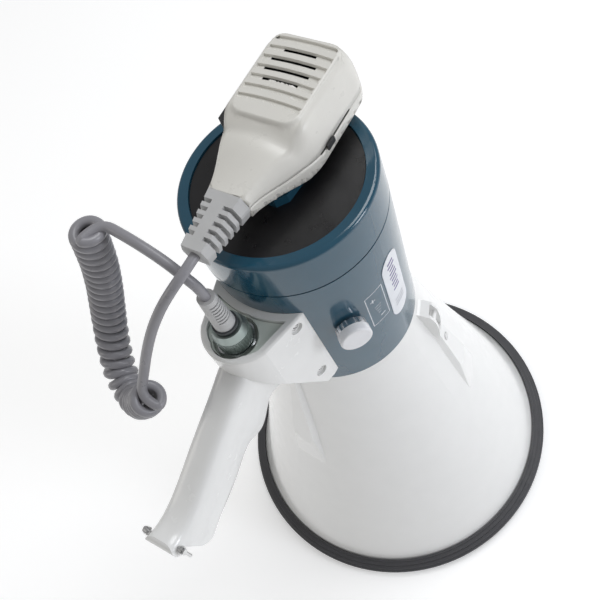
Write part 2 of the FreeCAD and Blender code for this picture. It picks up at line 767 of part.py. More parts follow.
def grip_body():
    """Bracket and handle in one hollow moulding."""
    bracket = bracket_block(0.0, 215.0, BRACKET_REAR_Z).common(prism_x(DIAGONAL, 40.0))
    rim = [e for e in bracket.Edges if e.BoundBox.ZMin > BRACKET_REAR_Z - 0.1 and e.BoundBox.YMin < -44.1]
    bracket = bracket.makeFillet(1.6, rim)
    solid_side = grip_side_shape()
    handle = grip_loft(0.0).common(solid_side)
    outer = bracket.fuse(handle)
    outer = outer.cut(around_body(0.05, 205.0))
    inner_diagonal = [(-30.0, 232.0), (-47.0, 232.0), (-64.0, 261.0), (-78.5, 284.0), (-78.5, 289.0),
                      (-30.0, 289.0)]
    room = bracket_block(2.8, 215.0, 289.0).common(prism_x(inner_diagonal, 40.0))
    recess = bracket_block(4.0, PANEL_Z - 1.6, BRACKET_REAR_Z + 1).cut(around_body(4.2, 280.0))
    well = cylinder(WELL_R + 0.1, 20.0, V(0, CONNECTOR_Y, WELL_Z))
    socket_hole = cylinder(7.7, 20.0, V(0, CONNECTOR_Y, WELL_Z - 10.0))
    handle_room = grip_loft(2.6).common(box(-12, 12, -140.0, -60.0, 200.0, 300.0))
    outer = outer.cut(room).cut(recess).cut(well).cut(socket_hole).cut(handle_room).cut(front_cover_slot())
    outer = outer.cut(cylinder(1.15, 40.0, V(-20, PIN_Y, PIN_Z), X_AXIS))
    for hole in both_sides(1.7, -1.0, 14.0) + both_sides(3.6, -1.0, 2.6):
        outer = outer.cut(hole)
    return outer


def bracket_screws():
    """Four self-tapping screws with pan heads, sunk in the bracket's side walls."""
    shanks = both_sides(1.45, 1.6, 11.0)
    heads = both_sides(3.1, 0.2, 1.4)
    return group([shank.fuse(head) for shank, head in zip(shanks, heads)])


def grip_front_cover():
    """Strip that closes the hollow of the handle, on the side towards the horn."""
    top = (-103.0, 237.5)
    low = (-136.0, 226.3)
    outline = [(top[0], top[1] + 2.6), (top[0], top[1] - 0.6), (low[0], low[1] - 0.6), (low[0], low[1] + 2.6)]
    return prism_x(outline, 4.4)


def front_cover_slot():
    return prism_x([(-102.8, 241.5), (-102.8, 231.0), (-136.2, 219.5), (-136.2, 231.5)], 4.6)


# ---------------------------------------------------------------- strap pin and ring
EAR_X = 11.3              # middle of the ring's two eyes
RING_WIRE_R = 1.0
RING_DROP = 15.0


def strap_pin():
    reach = EAR_X + 1.2
    shank = cylinder(1.1, 2 * reach, V(-reach, PIN_Y, PIN_Z), X_AXIS)
    head = cylinder(1.8, 0.8, V(reach, PIN_Y, PIN_Z), X_AXIS)
    return shank.fuse(head).fuse(head.mirror(V(), X_AXIS))


def strap_ring():
    """Wire ring that hangs from the pin: two eyes, two legs and a rounded bar."""
    corner = 4.5
    top = PIN_Z - 1.8
    low = PIN_Z - RING_DROP
    q = corner * (1 - math.sqrt(0.5))
    left = -EAR_X
    right = EAR_X
    path = Part.Wire([
        line(V(left, PIN_Y, top), V(left, PIN_Y, low + corner)),
        arc(V(left, PIN_Y, low + corner), V(left + q, PIN_Y, low + q), V(left + corner, PIN_Y, low)),
        line(V(left + corner, PIN_Y, low), V(right - corner, PIN_Y, low)),
        arc(V(right - corner, PIN_Y, low), V(right - q, PIN_Y, low + q), V(right, PIN_Y, low + corner)),
        line(V(right, PIN_Y, low + corner), V(right, PIN_Y, top)),
    ])
    circle = Part.Wire(Part.makeCircle(RING_WIRE_R, V(left, PIN_Y, top), V(0, 0, -1)))
    wire = path.makePipeShell([circle], True, False)
    eyes = []
    for x in (left, right):
        eyes.append(tube(2.3, 1.18, 1.8, V(x - 0.9, PIN_Y, PIN_Z), X_AXIS))
    bore = cylinder(1.18, 40.0, V(-20, PIN_Y, PIN_Z), X_AXIS)
    return fuse_all([wire] + eyes).cut(bore)


# ---------------------------------------------------------------- connector
SOCKET_R = 7.4
NUT_FLATS = 19.4


def panel_plate():
    """Glossy plate in the recess of the bracket, with a round well for the connector."""
    plate = bracket_block(4.2, PANEL_Z - 1.5, PANEL_Z)
    plate = plate.cut(around_body(4.4, 280.0)).cut(cylinder(WELL_R - 0.9, 10.0, V(0, CONNECTOR_Y, PANEL_Z - 5)))
    cup = tube(WELL_R - 0.05, WELL_R - 0.9, PANEL_Z - WELL_Z - 0.1, V(0, CONNECTOR_Y, WELL_Z + 0.1))
    floor = tube(WELL_R - 0.05, SOCKET_R + 0.1, 1.2, V(0, CONNECTOR_Y, WELL_Z + 0.1))
    keep = bracket_block(3.1, WELL_Z, PANEL_Z)
    return plate.fuse(cup.fuse(floor).common(keep))


def panel_socket():
    """Threaded chassis socket: flange behind the panel, barrel through it, pins at the back."""
    at = V(0, CONNECTOR_Y, 0)
    barrel = tube(SOCKET_R, 6.3, 24.0, at + V(0, 0, 279.0))
    flange = tube(9.8, 6.3, 1.6, at + V(0, 0, 287.2))
    core = cylinder(6.35, 6.0, at + V(0, 0, 281.0))
    pins = [cylinder(0.8, 20.0, at + V(3.6 * math.cos(a), 3.6 * math.sin(a), 276.0))
            for a in (math.radians(72 * i) for i in range(5))]
    return fuse_all([barrel, flange, core] + pins)


def socket_nut():
    base = V(0, CONNECTOR_Y, WELL_Z + 1.4)
    corner = NUT_FLATS / math.sqrt(3)
    turns = [math.radians(60 * i + 8) for i in range(7)]
    points = [base + V(corner * math.cos(a), corner * math.sin(a), 0) for a in turns]
    nut = Part.Face(Part.makePolygon(points)).extrude(V(0, 0, 5.0))
    crown = Part.makeCone(corner + 0.3 + 5.0, corner + 0.3 - 1.2, 5.01, base)
    return nut.common(crown).cut(cylinder(SOCKET_R + 0.04, 12.0, base - V(0, 0, 2)))


LOCK_RING_Z = 299.2


def plug_locking_ring():
    """Knurled coupling ring of the plug; it turns on the plug's body."""
    base = V(0, CONNECTOR_Y, LOCK_RING_Z)
    ring = cylinder(9.6, 8.4, base)
    cuts = []
    for i in range(36):
        a = math.radians(10 * i)
        cuts.append(cylinder(0.42, 9.0, base + V(9.75 * math.cos(a), 9.75 * math.sin(a), -0.3)))
    ring = ring.cut(Part.makeCompound(cuts))
    collar = Part.makeCone(9.3, 7.9, 5.4, base + V(0, 0, 8.4))
    ring = ring.fuse(collar)
    return ring.cut(cylinder(SOCKET_R + 0.35, 6.2, base - V(0, 0, 0.2))).cut(cylinder(5.93, 20.0, base))


def plug_body():
    """Metal shell of the plug, inside the socket and the locking ring."""
    at = V(0, CONNECTOR_Y, 0)
    nose = cylinder(6.15, 15.5, at + V(0, 0, 287.6))
    shell = cylinder(5.85, 12.0, at + V(0, 0, 303.0))
    stop = cylinder(7.2, 1.6, at + V(0, 0, 303.2))
    sleeve = tube(6.6, 5.0, 1.6, at + V(0, 0, 314.0))
    holes = [cylinder(0.85, 9.0, at + V(3.6 * math.cos(a), 3.6 * math.sin(a), 287.6))
             for a in (math.radians(72 * i) for i in range(5))]
    return fuse_all([nose, shell, stop, sleeve]).cut(Part.makeCompound(holes))


def plug_relief():
    """Ribbed rubber relief where the cord leaves the plug."""
    at = V(0, CONNECTOR_Y, 0)
    start = 315.7
    end = 341.0
    relief = Part.makeCone(5.6, 4.5, end - start, at + V(0, 0, start))
    for i in range(7):
        z = 322.6 + 2.3 * i
        for side in (1, -1):
            relief = relief.cut(box(side * 5.6 - 2.9, side * 5.6 + 2.9, CONNECTOR_Y - 6, CONNECTOR_Y + 6, z, z + 1.0))
    return relief


# ---------------------------------------------------------------- microphone
HEAD_TOP_Y = 57.0
NECK_Y = -29.0
STEP_Y = 9.0
FACE_GROOVES = 7
GROOVE_PITCH = 5.85
GROOVE_TOP_Y = 50.8
GROOVE_HALF = 17.6
THROUGH_SLOTS = {1: (-9.6, 7.9), 2: (-13.2, 11.0), 3: (-13.6, 10.6), 4: (-11.2, 8.0)}
MIC_WALL = 2.0


def mic_outline(half, top, neck_half, z, corner):
    """Plan outline of the microphone: a round-cornered head that narrows to the neck."""
    q = corner * (1 - math.sqrt(0.5))
    neck = NECK_Y
    left_shoulder = Part.BSplineCurve()
    left_shoulder.interpolate([V(-half, 8.0, z), V(-half + 1.4, -3.0, z), V(-(half + neck_half) / 2 + 0.4, -16.0, z),
                               V(-neck_half, neck, z)])
    right_shoulder = Part.BSplineCurve()
    right_shoulder.interpolate([V(neck_half, neck, z), V((half + neck_half) / 2 - 0.4, -16.0, z),
                                V(half - 1.4, -3.0, z), V(half, 8.0, z)])
    return Part.Wire([
        right_shoulder.toShape(),
        line(V(half, 8.0, z), V(half, top - corner, z)),
        arc(V(half, top - corner, z), V(half - q, top - q, z), V(half - corner, top, z)),
        line(V(half - corner, top, z), V(-half + corner, top, z)),
        arc(V(-half + corner, top, z), V(-half + q, top - q, z), V(-half, top - corner, z)),
        line(V(-half, top - corner, z), V(-half, 8.0, z)),
        left_shoulder.toShape(),
        line(V(-neck_half, neck, z), V(neck_half, neck, z)),
    ])


def mic_block(inset):
    """Whole microphone case: widest at its seam, narrower at the face and at the back."""
    seam = mic_outline(24.2 - inset, HEAD_TOP_Y - inset, 11.0 - inset, MIC_SEAM_Z, 10.0 - inset)
    face = mic_outline(19.8 - inset, HEAD_TOP_Y - 2.6 - inset, 8.4 - inset, MIC_FACE_Z - inset, 8.0 - inset)
    back = mic_outline(21.6 - inset, HEAD_TOP_Y - 1.6 - inset, 9.6 - inset, MIC_BACK_Z + inset, 9.0 - inset)
    front_half = Part.makeLoft([seam, face], True, True)
    back_half = Part.makeLoft([back, seam], True, True)
    return front_half.fuse(back_half)


def below_front(drop):
    """Side view under the face and the sloping neck, with the step between them."""
    return prism_x([(HEAD_TOP_Y + 5, 340.0), (HEAD_TOP_Y + 5, MIC_FACE_Z - drop), (STEP_Y, MIC_FACE_Z - drop),
                    (STEP_Y - 2.2, MIC_FACE_Z - 3.4 - drop), (NECK_Y - 1, 372.4 - drop), (NECK_Y - 1, 340.0)], 40.0)


def above_back(rise):
    """Side view over the back, which rises towards the neck."""
    return prism_x([(HEAD_TOP_Y + 5, 395.0), (HEAD_TOP_Y + 5, MIC_BACK_Z + rise), (2.0, MIC_BACK_Z + rise),
                    (-12.0, 354.6 + rise), (NECK_Y - 1, 358.6 + rise), (NECK_Y - 1, 395.0)], 40.0)


def seam_side(front, gap):
    """Everything in front of (or behind) the seam, which rises towards the neck."""
    far = 400.0 if front else 330.0
    step = gap if front else -gap
    return prism_x([(HEAD_TOP_Y + 8, MIC_SEAM_Z + step), (12.0, MIC_SEAM_Z + step), (-4.0, 361.8 + step),
                    (NECK_Y - 2, 365.4 + step), (NECK_Y - 2, far), (HEAD_TOP_Y + 8, far)], 45.0)


PTT_Y = (6.5, 37.5)
PTT_Z = (360.2, 371.0)
SLIDER_Y = (11.6, 36.6)
SLIDER_Z = 359.4


def mic_case():
    shell = mic_block(0.0).common(below_front(0.0)).common(above_back(0.0))
    room = mic_block(MIC_WALL).common(below_front(MIC_WALL)).common(above_back(MIC_WALL))
    room = room.common(box(-40, 40, NECK_Y + 3.0, 90, 330, 400))
    shell = shell.cut(room)
    shell = shell.cut(box(-30.0, -18.0, PTT_Y[0] - RUN, PTT_Y[1] + RUN, PTT_Z[0] - RUN, PTT_Z[1] + RUN))
    shell = shell.cut(box(18.0, 30.0, SLIDER_Y[0], SLIDER_Y[1], SLIDER_Z - 0.9, SLIDER_Z + 0.9))
    return shell.cut(cylinder(2.7, 10.0, V(0, NECK_Y - 3.0, RELIEF_Z), Y_AXIS))


def mic_front_shell():
    shell = mic_case().common(seam_side(True, 0.0))
    for i in range(FACE_GROOVES):
        y = GROOVE_TOP_Y - GROOVE_PITCH * i
        outline = [(y + 0.8, MIC_FACE_Z + 0.2), (y + 0.5, MIC_FACE_Z - 1.3), (y - 0.9, MIC_FACE_Z - 1.3),
                   (y - 2.4, MIC_FACE_Z + 0.2)]
        shell = shell.cut(prism_x(outline, GROOVE_HALF))
        if i in THROUGH_SLOTS:
            x0, x1 = THROUGH_SLOTS[i]
            shell = shell.cut(box(x0, x1, y - 0.95, y + 0.45, MIC_FACE_Z - 4.0, MIC_FACE_Z))
    return shell


def mic_rear_shell():
    shell = mic_case().common(seam_side(False, 0.0))
    notch = 0.7
    for i in range(9):
        y = 46.0 - 6.2 * i
        low = MIC_BACK_Z - 1 + max(0.0, -y) * 0.31
        for side in (1, -1):
            reach = 21.6 if y > 0 else 21.6 + y * 0.42
            shell = shell.cut(box(side * reach - 1.3, side * reach + 1.9, y - notch, y + notch, low, low + 4.0))
    inside_z = MIC_BACK_Z + MIC_WALL + 0.1
    stud_hole = cylinder(1.6, 8.0, V(0, 0, MIC_BACK_Z - 2)).fuse(cylinder(3.0, 4.0, V(0, 0, inside_z)))
    for at in mic_screw_places():
        shell = shell.cut(cylinder(2.5, 2.4, at - V(0, 0, 1.0))).cut(cylinder(1.15, 8.0, at))
    return shell.cut(stud_hole)


def mic_stud():
    """Hang-up button on the back of the microphone: neck and wide head."""
    neck = cylinder(STUD_R, MIC_BACK_Z - (DISC_Z + 2.8), V(0, 0, DISC_Z + 2.8))
    head = cylinder(STUD_HEAD_R, 2.2, V(0, 0, DISC_Z + 0.7))
    return neck.fuse(head).cut(cylinder(1.2, 12.0, V(0, 0, DISC_Z + 2.0)))


def mic_stud_screw():
    head = cylinder(2.6, 1.2, V(0, 0, MIC_BACK_Z + MIC_WALL + 0.1))
    return cylinder(1.15, 9.6, V(0, 0, DISC_Z + 2.1)).fuse(head)


def ptt_button():
    """Press-to-talk bar on the side of the case."""
    low, high = PTT_Y
    bar = box(-27.9, -18.8, low, high, PTT_Z[0], PTT_Z[1])
    edges = [e for e in bar.Edges if e.BoundBox.XMax < -27.8]
    bar = bar.makeFillet(1.6, edges)
    flange = box(-18.9, -17.9, low + 1.0, high + 1.5, PTT_Z[0] - 0.6, PTT_Z[1] - 1.5)
    return bar.fuse(flange)


def mic_slider():
    """Small thumb slider in the slot along the seam."""
    low = SLIDER_Y[0] + 3.4
    thumb = box(24.5, 25.6, low, low + 6.0, SLIDER_Z - 1.6, SLIDER_Z + 1.6)
    web = box(19.0, 24.6, low + 0.5, low + 5.5, SLIDER_Z - 0.75, SLIDER_Z + 0.75)
    return thumb.fuse(web)


def mic_board():
    return box(-16.0, 16.0, -4.0, 50.0, 355.4, 357.0).cut(cylinder(3.4, 10.0, V(0, 0, 350.0)))


def mic_capsule():
    """Electret capsule behind the slots, on its post."""
    can = cylinder(4.9, 6.0, V(0, 36.0, 371.5))
    post = cylinder(3.0, 14.4, V(0, 36.0, 357.1))
    return can.fuse(post)


def talk_switch():
    """Microswitch under the press-to-talk bar, and the level slider's track."""
    switch = box(-14.4, -6.0, 6.0, 26.0, 357.1, 366.0)
    plunger = box(-15.2, -14.3, 20.0, 24.0, 360.5, 364.5)
    track = box(11.0, 17.6, SLIDER_Y[0], SLIDER_Y[1], 357.1, 361.6)
    return group([switch.fuse(plunger), track])


def mic_screw_places():
    return [V(-14.5, 44.0, MIC_BACK_Z), V(14.5, 44.0, MIC_BACK_Z), V(0, -16.0, MIC_BACK_Z + 5.4)]


def mic_case_screws():
    screws = [cylinder(2.4, 1.3, at).fuse(cylinder(1.1, 5.0, at)) for at in mic_screw_places()]
    return group(screws)


RELIEF_END_Y = -58.5


def octagon(half_x, half_z, y):
    cut_x = half_x * 0.78
    cut_z = half_z * 0.12
    corners = [(-cut_x, half_z), (cut_x, half_z), (half_x, cut_z), (half_x, -cut_z), (cut_x, -half_z),
               (-cut_x, -half_z), (-half_x, -cut_z), (-half_x, cut_z)]
    points = [V(x, y, RELIEF_Z + z) for x, z in corners]
    return Part.makePolygon(points + points[:1])


def mic_relief():
    """Faceted rubber strain relief of the microphone, slotted from both sides."""
    block = Part.makeLoft([octagon(11.0, 7.2, NECK_Y - 0.05), octagon(7.0, 5.6, RELIEF_END_Y)], True, True)
    length = NECK_Y - RELIEF_END_Y
    for i in range(5):
        y = NECK_Y - 6.0 - 4.1 * i
        share = (NECK_Y - y) / length
        half = 11.0 - 4.0 * share
        for side in (1, -1):
            inner = half * 0.34
            shift = 1.0 if side > 0 else 0.0
            x0, x1 = sorted((side * inner, side * (half + 2)))
            front = box(x0, x1, y - 1.0 - shift, y + 1.0 - shift, RELIEF_Z + 3.0, RELIEF_Z + 9)
            back = box(x0, x1, y - 1.0 - shift, y + 1.0 - shift, RELIEF_Z - 9, RELIEF_Z - 3.0)
            x0, x1 = sorted((side * half * 0.62, side * (half + 2)))
            middle = box(x0, x1, y - 1.0 - shift, y + 1.0 - shift, RELIEF_Z - 4, RELIEF_Z + 4)
            block = block.cut(front).cut(back).cut(middle)
    return block


# ---------------------------------------------------------------- cord
PLUG_ROUTE = [(0, -66.5, 341.0), (0, -66.5, 349.0), (-4.6, -66.8, 357.5), (-13.0, -65.8, 363.8),
              (-24.0, -64.5, 367.2), (-37.0, -63.2, 369.4), (-49.0, -62.2, 370.2)]
COIL_ROUTE = [(-54.0, -68.0, 371.0), (-58.5, -70.5, 349.0), (-65.0, -75.5, 325.0), (-70.0, -84.0, 301.5),
              (-69.5, -94.0, 284.0), (-63.5, -104.5, 271.5), (-50.5, -111.5, 268.5), (-36.5, -113.5, 280.5),
              (-25.0, -112.0, 298.0)]
MIC_ROUTE = [(-29.5, -112.5, 298.5), (-26.0, -105.0, 311.0), (-21.5, -98.0, 325.5), (-15.5, -90.5, 340.5),
             (-9.0, -83.0, 353.0), (-3.0, -75.6, 362.0), (0, -67.0, 365.5), (0, -58.5, 365.5)]


def vectors(route):
    return [V(x, y, z) for x, y, z in route]


def cord_plug_side():
    return cord_solid("cord_plug_side", vectors(PLUG_ROUTE), CORD_R)


def cord_coil():
    return cord_solid("cord_coil", vectors(COIL_ROUTE), COIL_R)


def cord_mic_side():
    return cord_solid("cord_mic_side", vectors(MIC_ROUTE), CORD_R)


# ---------------------------------------------------------------- output
PARTS = [
    horn_bell, lug_screw, bumper_ring, inner_pipe, reflector_cup, pipe_vanes, horn_spider, baffle_plate, phase_plug,
    diaphragm, voice_coil, top_plate, magnet_ring, yoke, driver_screws, body_shell, amplifier_board,
    board_pillars, heatsink, board_components, potentiometer, potentiometer_nut, knob_shaft, knob_skirt,
    knob_cap, label_plate, battery_bulkhead, battery_cells, tray_plates, tray_rods,
    contact_strips, cap_seal, battery_cap, cap_disc, mic_hanger, grip_body, grip_front_cover, bracket_screws,
    strap_pin, strap_ring, panel_plate, panel_socket, socket_nut, plug_locking_ring, plug_body, plug_relief,
    mic_front_shell, mic_rear_shell, mic_stud, mic_stud_screw, ptt_button, mic_slider, mic_board, mic_capsule,
    talk_switch, mic_case_screws, mic_relief, cord_plug_side, cord_coil, cord_mic_side,
]

os.makedirs("parts", exist_ok=True)
for make in PARTS:
    shape = make()
    if not shape.isValid() or shape.Volume <= 0:
        print("BAD", make.__name__)
    print(make.__name__, "solids", len(shape.Solids), "volume %.0f" % shape.Volume)
    shape.exportStep("parts/%s.step" % make.__name__)
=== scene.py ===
import json
import math

import bpy
from mathutils import Matrix, Vector, geometry


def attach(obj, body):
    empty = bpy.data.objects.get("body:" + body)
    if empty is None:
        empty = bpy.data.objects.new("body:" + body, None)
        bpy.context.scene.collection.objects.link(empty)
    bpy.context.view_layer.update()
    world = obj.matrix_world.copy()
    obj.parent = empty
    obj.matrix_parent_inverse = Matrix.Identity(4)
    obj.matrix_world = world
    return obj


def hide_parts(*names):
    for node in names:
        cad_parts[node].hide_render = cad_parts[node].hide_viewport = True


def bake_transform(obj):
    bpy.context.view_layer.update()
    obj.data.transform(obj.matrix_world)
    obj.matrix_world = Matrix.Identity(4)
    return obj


# Handheld megaphone standing on its mouth.  Units are metres in the CAD frame: +Z is the rear, -Y the
# hand grip, +X the volume knob's side.  MM turns millimetres into metres.
MM = 0.001

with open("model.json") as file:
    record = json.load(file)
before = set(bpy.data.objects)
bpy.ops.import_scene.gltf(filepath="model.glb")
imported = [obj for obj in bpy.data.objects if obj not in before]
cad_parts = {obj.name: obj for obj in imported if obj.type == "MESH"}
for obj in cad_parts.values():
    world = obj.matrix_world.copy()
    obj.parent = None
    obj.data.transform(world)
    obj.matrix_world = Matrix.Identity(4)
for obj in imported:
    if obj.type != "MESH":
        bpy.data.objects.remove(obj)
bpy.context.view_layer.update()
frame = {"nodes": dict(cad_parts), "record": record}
scene = bpy.context.scene
NODES = frame["nodes"]


# ---------------------------------------------------------------- camera, floor and light
CAMERA_AT = Vector((0.2089, -0.1674, 0.6631))
CAMERA_RIGHT = Vector((0.83731, 0.48131, -0.25933))
CAMERA_UP = Vector((-0.32802, 0.82173, 0.46601))
CAMERA_LENS = 52.2


def make_camera():
    data = bpy.data.cameras.new("camera")
    data.lens = CAMERA_LENS
    data.clip_start = 0.01
    data.clip_end = 20
    camera = bpy.data.objects.new("camera", data)
    scene.collection.objects.link(camera)
    back = CAMERA_RIGHT.cross(CAMERA_UP).normalized()
    up = back.cross(CAMERA_RIGHT).normalized()
    axes = Matrix((CAMERA_RIGHT, up, back)).transposed()
    camera.matrix_world = Matrix.Translation(CAMERA_AT) @ axes.to_4x4()
    scene.camera = camera


def area_light(name, at, target, size, power, colour=(1, 1, 1)):
    data = bpy.data.lights.new(name, "AREA")
    data.shape = "RECTANGLE"
    data.size, data.size_y = size
    data.energy = power
    data.color = colour
    light = bpy.data.objects.new(name, data)
    scene.collection.objects.link(light)
    light.location = at
    light.rotation_euler = (Vector(target) - Vector(at)).to_track_quat("-Z", "Y").to_euler()
    return light


def make_stage():
    mesh = bpy.data.meshes.new("floor")
    half = 3.0
    corners = [(-half, -half, 0), (half, -half, 0), (half, half, 0), (-half, half, 0)]
    mesh.from_pydata(corners, [], [(0, 1, 2, 3)])
    floor = bpy.data.objects.new("floor", mesh)
    scene.collection.objects.link(floor)
    material = bpy.data.materials.new("pale_floor")
    material.use_nodes = True
    shader = material.node_tree.nodes["Principled BSDF"]
    shader.inputs["Base Color"].default_value = (0.93, 0.93, 0.93, 1)
    shader.inputs["Roughness"].default_value = 0.9
    shader.inputs["Emission Color"].default_value = (1, 1, 1, 1)
    shader.inputs["Emission Strength"].default_value = 0.3
    mesh.materials.append(material)

    world = bpy.data.worlds.new("studio")
    scene.world = world
    world.use_nodes = True
    background = world.node_tree.nodes["Background"]
    background.inputs["Color"].default_value = (1, 1, 1, 1)
    background.inputs["Strength"].default_value = 0.34
    scene.view_settings.view_transform = "Standard"

    area_light("top_soft", (0.2, 0.9, 1.9), (0, 0, 0.1), (1.2, 0.9), 16.5, (0.97, 0.985, 1.0))
    area_light("right_soft", (1.3, 0.35, 0.75), (0, 0, 0.12), (0.35, 0.7), 6.0, (0.90, 0.93, 1.0))
    area_light("left_soft", (-1.1, -0.9, 0.9), (0, 0, 0.12), (0.5, 0.9), 3.0, (1.0, 0.97, 0.91))


# ---------------------------------------------------------------- materials
class Paint:
    """Builds one node material round a Principled BSDF."""

    def __init__(self, name, colour, roughness, **fixed):
        self.material = bpy.data.materials.new(name)
        self.material.use_nodes = True
        self.nodes = self.material.node_tree.nodes
        self.links = self.material.node_tree.links
        self.shader = self.nodes["Principled BSDF"]
        self.shader.inputs["Base Color"].default_value = (*colour, 1)
        self.shader.inputs["Roughness"].default_value = roughness
        for key, value in fixed.items():
            self.shader.inputs[key.replace("_", " ")].default_value = value
        self.place = self.nodes.new("ShaderNodeTexCoord").outputs["Object"]

    def link(self, output, socket):
        self.links.new(output, socket)

    def noise(self, size_mm, detail=3.0, rough=0.5, stretch=None):
        node = self.nodes.new("ShaderNodeTexNoise")
        node.inputs["Scale"].default_value = 1 / (size_mm * MM)
        node.inputs["Detail"].default_value = detail
        node.inputs["Roughness"].default_value = rough
        source = self.place
        if stretch:
            mapping = self.nodes.new("ShaderNodeMapping")
            mapping.inputs["Scale"].default_value = stretch
            self.link(self.place, mapping.inputs["Vector"])
            source = mapping.outputs["Vector"]
        self.link(source, node.inputs["Vector"])
        return node.outputs["Fac"]

    def math(self, operation, a, b=0.0, clamp=False):
        node = self.nodes.new("ShaderNodeMath")
        node.operation = operation
        node.use_clamp = clamp
        for socket, value in zip(node.inputs, (a, b)):
            if isinstance(value, (int, float)):
                socket.default_value = value
            else:
                self.link(value, socket)
        return node.outputs[0]

    def span(self, value, low, high, out_low, out_high):
        node = self.nodes.new("ShaderNodeMapRange")
        self.link(value, node.inputs["Value"])
        for key, number in zip(("From Min", "From Max", "To Min", "To Max"), (low, high, out_low, out_high)):
            node.inputs[key].default_value = number
        return node.outputs["Result"]

    def mix(self, share, a, b):
        node = self.nodes.new("ShaderNodeMix")
        node.data_type = "RGBA"
        if isinstance(share, (int, float)):
            node.inputs[0].default_value = share
        else:
            self.link(share, node.inputs[0])
        for socket, value in zip((node.inputs[6], node.inputs[7]), (a, b)):
            if isinstance(value, tuple):
                socket.default_value = (*value, 1)
            else:
                self.link(value, socket)
        return node.outputs[2]

    def colour(self, output):
        self.link(output, self.shader.inputs["Base Color"])

    def roughness(self, output):
        self.link(output, self.shader.inputs["Roughness"])

    def bump(self, height, distance_mm, strength=1.0):
        node = self.nodes.new("ShaderNodeBump")
        node.inputs["Distance"].default_value = distance_mm * MM
        node.inputs["Strength"].default_value = strength
        self.link(height, node.inputs["Height"])
        self.link(node.outputs["Normal"], self.shader.inputs["Normal"])

    def edges(self, radius_mm=0.5):
        """1 on edges, 0 on flat faces, from the difference between the rounded and the true normal."""
        bevel = self.nodes.new("ShaderNodeBevel")
        bevel.samples = 6
        bevel.inputs["Radius"].default_value = radius_mm * MM
        geometry = self.nodes.new("ShaderNodeNewGeometry")
        dot = self.nodes.new("ShaderNodeVectorMath")
        dot.operation = "DOT_PRODUCT"
        self.link(bevel.outputs["Normal"], dot.inputs[0])
        self.link(geometry.outputs["Normal"], dot.inputs[1])
        return self.span(dot.outputs["Value"], 0.98, 0.75, 0.0, 1.0)


def plastic(name, colour, roughness, grain_mm=0.0, grain_depth=0.0, dirt=0.94, edge_highlight=1.0, coat=0.0, wave=0.0):
    """Moulded plastic: faint mottling, handling marks in the gloss, optional grain and optional edges lightened
    as a painted highlight.
    """
    paint = Paint(name, colour, roughness, Specular_IOR_Level=0.5, Coat_Weight=coat, Coat_Roughness=0.08)
    mottle = paint.noise(14, 4)
    tone = paint.mix(paint.span(mottle, 0.35, 0.65, 0, 1), tuple(c * dirt for c in colour), colour)
    # An edge factor above 1 paints a highlight: edges found by the bevel mask get a lighter tone.
    if edge_highlight != 1.0:
        highlight_colour = tuple(min(1.0, c * edge_highlight + 0.02 * (edge_highlight > 1)) for c in colour)
        tone = paint.mix(paint.math("MULTIPLY", paint.edges(), 0.5), tone, highlight_colour)
    paint.colour(tone)
    smudge = paint.noise(9, 5, 0.6)
    paint.roughness(paint.span(smudge, 0.3, 0.7, max(0.02, roughness - 0.05), roughness + 0.07))
    if grain_depth:
        paint.bump(paint.noise(grain_mm, 2), grain_depth)
    elif wave:
        paint.bump(paint.noise(16, 1), wave)
    return paint.material


def metal(name, colour, roughness, brushed=None, bump=0.02):
    """Metal with fine turning or brushing lines."""
    paint = Paint(name, colour, roughness, Metallic=1.0)
    lines = paint.noise(0.5, 2, 0.5, brushed)
    paint.colour(paint.mix(lines, tuple(c * 0.85 for c in colour), colour))
    paint.roughness(paint.span(lines, 0.3, 0.7, roughness - 0.06, roughness + 0.1))
    paint.bump(lines, bump)
    return paint.material


